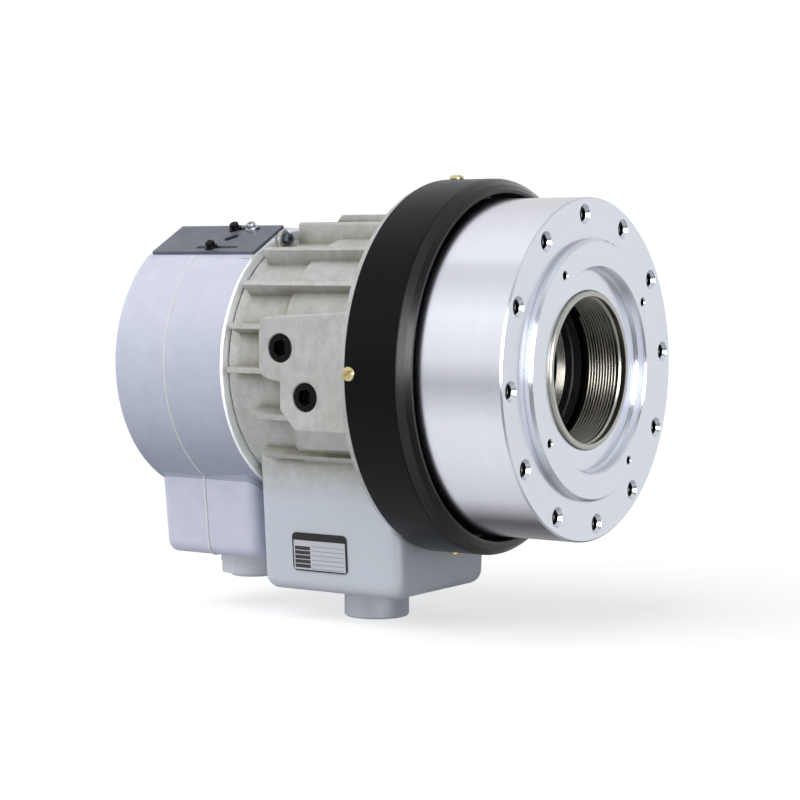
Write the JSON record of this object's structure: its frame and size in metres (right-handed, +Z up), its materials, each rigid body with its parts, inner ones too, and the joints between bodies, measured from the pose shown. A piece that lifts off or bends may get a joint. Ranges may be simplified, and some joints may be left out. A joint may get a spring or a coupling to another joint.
{
  "type": "rotary hydraulic chuck cylinder",
  "caption": "Rotary hydraulic cylinder with an open centre that works a lathe chuck: turning steel body and piston in a still cast housing with a coolant collector.",
  "frame": {"origin": "on the spindle axis, in the plane of the mounting face that carries the ring of tapped holes", "axes": "+X along the spindle axis, out of the mounting face towards the spindle; +Z up, away from the two drains; -Y towards the side with the plugged ports"},
  "size_m": [0.31, 0.2404, 0.2842],
  "materials": {
    "badge": "satin",
    "bearing_plastic": "matt",
    "bearing_steel": "ground",
    "black_ring": "satin black",
    "black_steel": "blackened",
    "brass": "bright",
    "cage_brass": "machined",
    "cast_aluminium": "cast, matt",
    "gasket": "matt",
    "ground_steel": "ground",
    "painted_casting": "painted, semi matt",
    "plate_paint": "satin",
    "seal_rubber": "matt",
    "turned_steel": "satin turned",
    "zinc_steel": "zinc plated"
  },
  "bodies": {
    "rotor": {"cylinder_body": "turned_steel", "distributor_shaft": "ground_steel", "body_bolts": "black_steel", "flange_o_ring": "seal_rubber", "nose_wiper": "seal_rubber", "nose_seal": "seal_rubber", "tube_seal": "seal_rubber", "piston_guide_pins": "bearing_steel", "check_valve_cartridges": "zinc_steel", "front_bearing_inner_ring": "bearing_steel", "front_bearing_retaining_ring": "black_steel", "rear_bearing_inner_ring": "bearing_steel", "rear_lock_nut": "black_steel", "coolant_slinger": "ground_steel"},
    "piston": {"piston": "ground_steel", "piston_seal": "seal_rubber", "piston_wear_ring": "bearing_plastic", "draw_tube_seal": "seal_rubber", "stroke_ring": "ground_steel", "stroke_ring_set_screws": "black_steel"},
    "housing": {"housing": "cast_aluminium", "guard_ring": "black_ring", "guard_ring_screws": "brass", "front_bearing_cover": "turned_steel", "front_bearing_cover_screws": "black_steel", "front_bearing_outer_ring": "bearing_steel", "rear_bearing_outer_ring": "bearing_steel", "rear_bearing_retaining_ring": "black_steel", "port_plugs": "black_steel", "name_plate": "badge", "collector_gasket": "gasket", "collector": "painted_casting", "collector_screws": "zinc_steel", "collector_rear_cover": "painted_casting", "collector_rear_cover_screws": "zinc_steel", "switch_plate": "plate_paint", "switch_plate_screws": "black_steel", "bright_plate_screw": "zinc_steel"},
    "front_ball_set": {"front_bearing_balls": "bearing_steel", "front_bearing_cage": "cage_brass"},
    "rear_ball_set": {"rear_bearing_balls": "bearing_steel", "rear_bearing_cage": "cage_brass"}
  },
  "joints": [
    {"name": "housing_spin", "type": "hinge", "parent": "rotor", "child": "housing", "pos_m": [-0.16, 0, 0], "axis": [1, 0, 0], "continuous": true},
    {"name": "piston_slide", "type": "slide", "parent": "rotor", "child": "piston", "axis": [1, 0, 0], "range_m": [0, 0.025]},
    {"name": "front_cage_spin", "type": "hinge", "parent": "rotor", "child": "front_ball_set", "pos_m": [-0.112, 0, 0], "axis": [1, 0, 0], "continuous": true},
    {"name": "rear_cage_spin", "type": "hinge", "parent": "rotor", "child": "rear_ball_set", "pos_m": [-0.202, 0, 0], "axis": [1, 0, 0], "continuous": true}
  ],
  "couplings": [
    {"joint": "front_cage_spin", "follows": "housing_spin", "ratio": 0.534},
    {"joint": "rear_cage_spin", "follows": "housing_spin", "ratio": 0.537}
  ]
}
